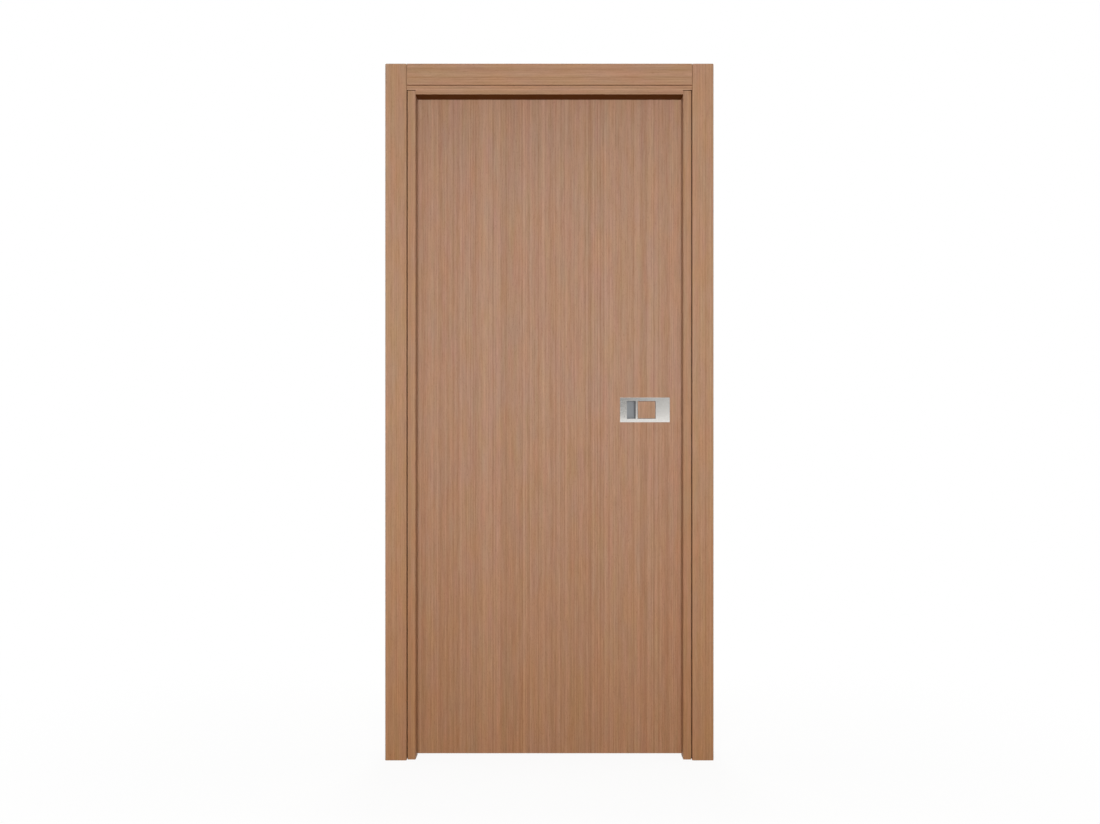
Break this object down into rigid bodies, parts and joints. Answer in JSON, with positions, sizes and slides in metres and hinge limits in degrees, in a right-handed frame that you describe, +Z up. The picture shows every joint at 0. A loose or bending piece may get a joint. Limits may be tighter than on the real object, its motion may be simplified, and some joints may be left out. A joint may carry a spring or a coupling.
{
  "type": "prehung door",
  "caption": "Flush wood-veneered leaf on butt hinges in its own rebated timber frame, with flat casings, seals and a flush pull handle; closes an interior doorway.",
  "frame": {"origin": "foot of the hinge-side jamb, on the face that is fixed to the wall, at mid-depth of the wall", "axes": "+X along the wall from the hinge side to the strike side, +Y through the wall from the side where the stop shows to the side the leaf opens to, +Z up"},
  "size_m": [0.985, 0.123, 2.09],
  "materials": {
    "leaf_veneer": "fine straight-grained brown veneer, satin lacquer",
    "frame_veneer": "fine straight-grained brown veneer, satin lacquer",
    "leaf_edge_timber": "edge-veneered timber, satin lacquer",
    "satin_handle_metal": "satin nickel-coloured metal",
    "satin_steel": "satin steel",
    "grey_cup": "grey satin metal",
    "brown_seal": "dark brown soft rubber"
  },
  "bodies": {
    "frame": {"hinge_jamb": "frame_veneer", "strike_jamb": "frame_veneer", "head_jamb": "frame_veneer", "hinge_stop": "frame_veneer", "strike_stop": "frame_veneer", "head_stop": "frame_veneer", "front_casing_hinge_side": "frame_veneer", "front_casing_strike_side": "frame_veneer", "front_casing_head": "frame_veneer", "back_casing_hinge_side": "frame_veneer", "back_casing_strike_side": "frame_veneer", "back_casing_head": "frame_veneer", "seal_hinge_side": "brown_seal", "seal_strike_side": "brown_seal", "seal_head": "brown_seal", "strike_plate": "satin_steel", "bottom_hinge_frame_plate": "satin_steel", "middle_hinge_frame_plate": "satin_steel", "top_hinge_frame_plate": "satin_steel", "bottom_hinge_pin": "satin_steel", "middle_hinge_pin": "satin_steel", "top_hinge_pin": "satin_steel"},
    "leaf": {"front_skin": "leaf_veneer", "back_skin": "leaf_veneer", "hinge_stile": "leaf_edge_timber", "latch_stile": "leaf_edge_timber", "top_rail": "leaf_edge_timber", "bottom_rail": "leaf_edge_timber", "latch_faceplate": "satin_steel", "latch_bolt": "satin_steel", "bottom_hinge_leaf_plate": "satin_steel", "middle_hinge_leaf_plate": "satin_steel", "top_hinge_leaf_plate": "satin_steel", "front_handle_plate": "satin_handle_metal", "front_finger_cup": "grey_cup", "front_handle_inlay": "leaf_veneer", "back_handle_plate": "satin_handle_metal", "back_finger_cup": "grey_cup", "back_handle_inlay": "leaf_veneer"}
  },
  "joints": [
    {"name": "leaf_swing", "type": "hinge", "parent": "frame", "child": "leaf", "pos_m": [0.0295, 0.057, 0], "axis": [0, 0, 1], "range_deg": [0, 165]}
  ]
}
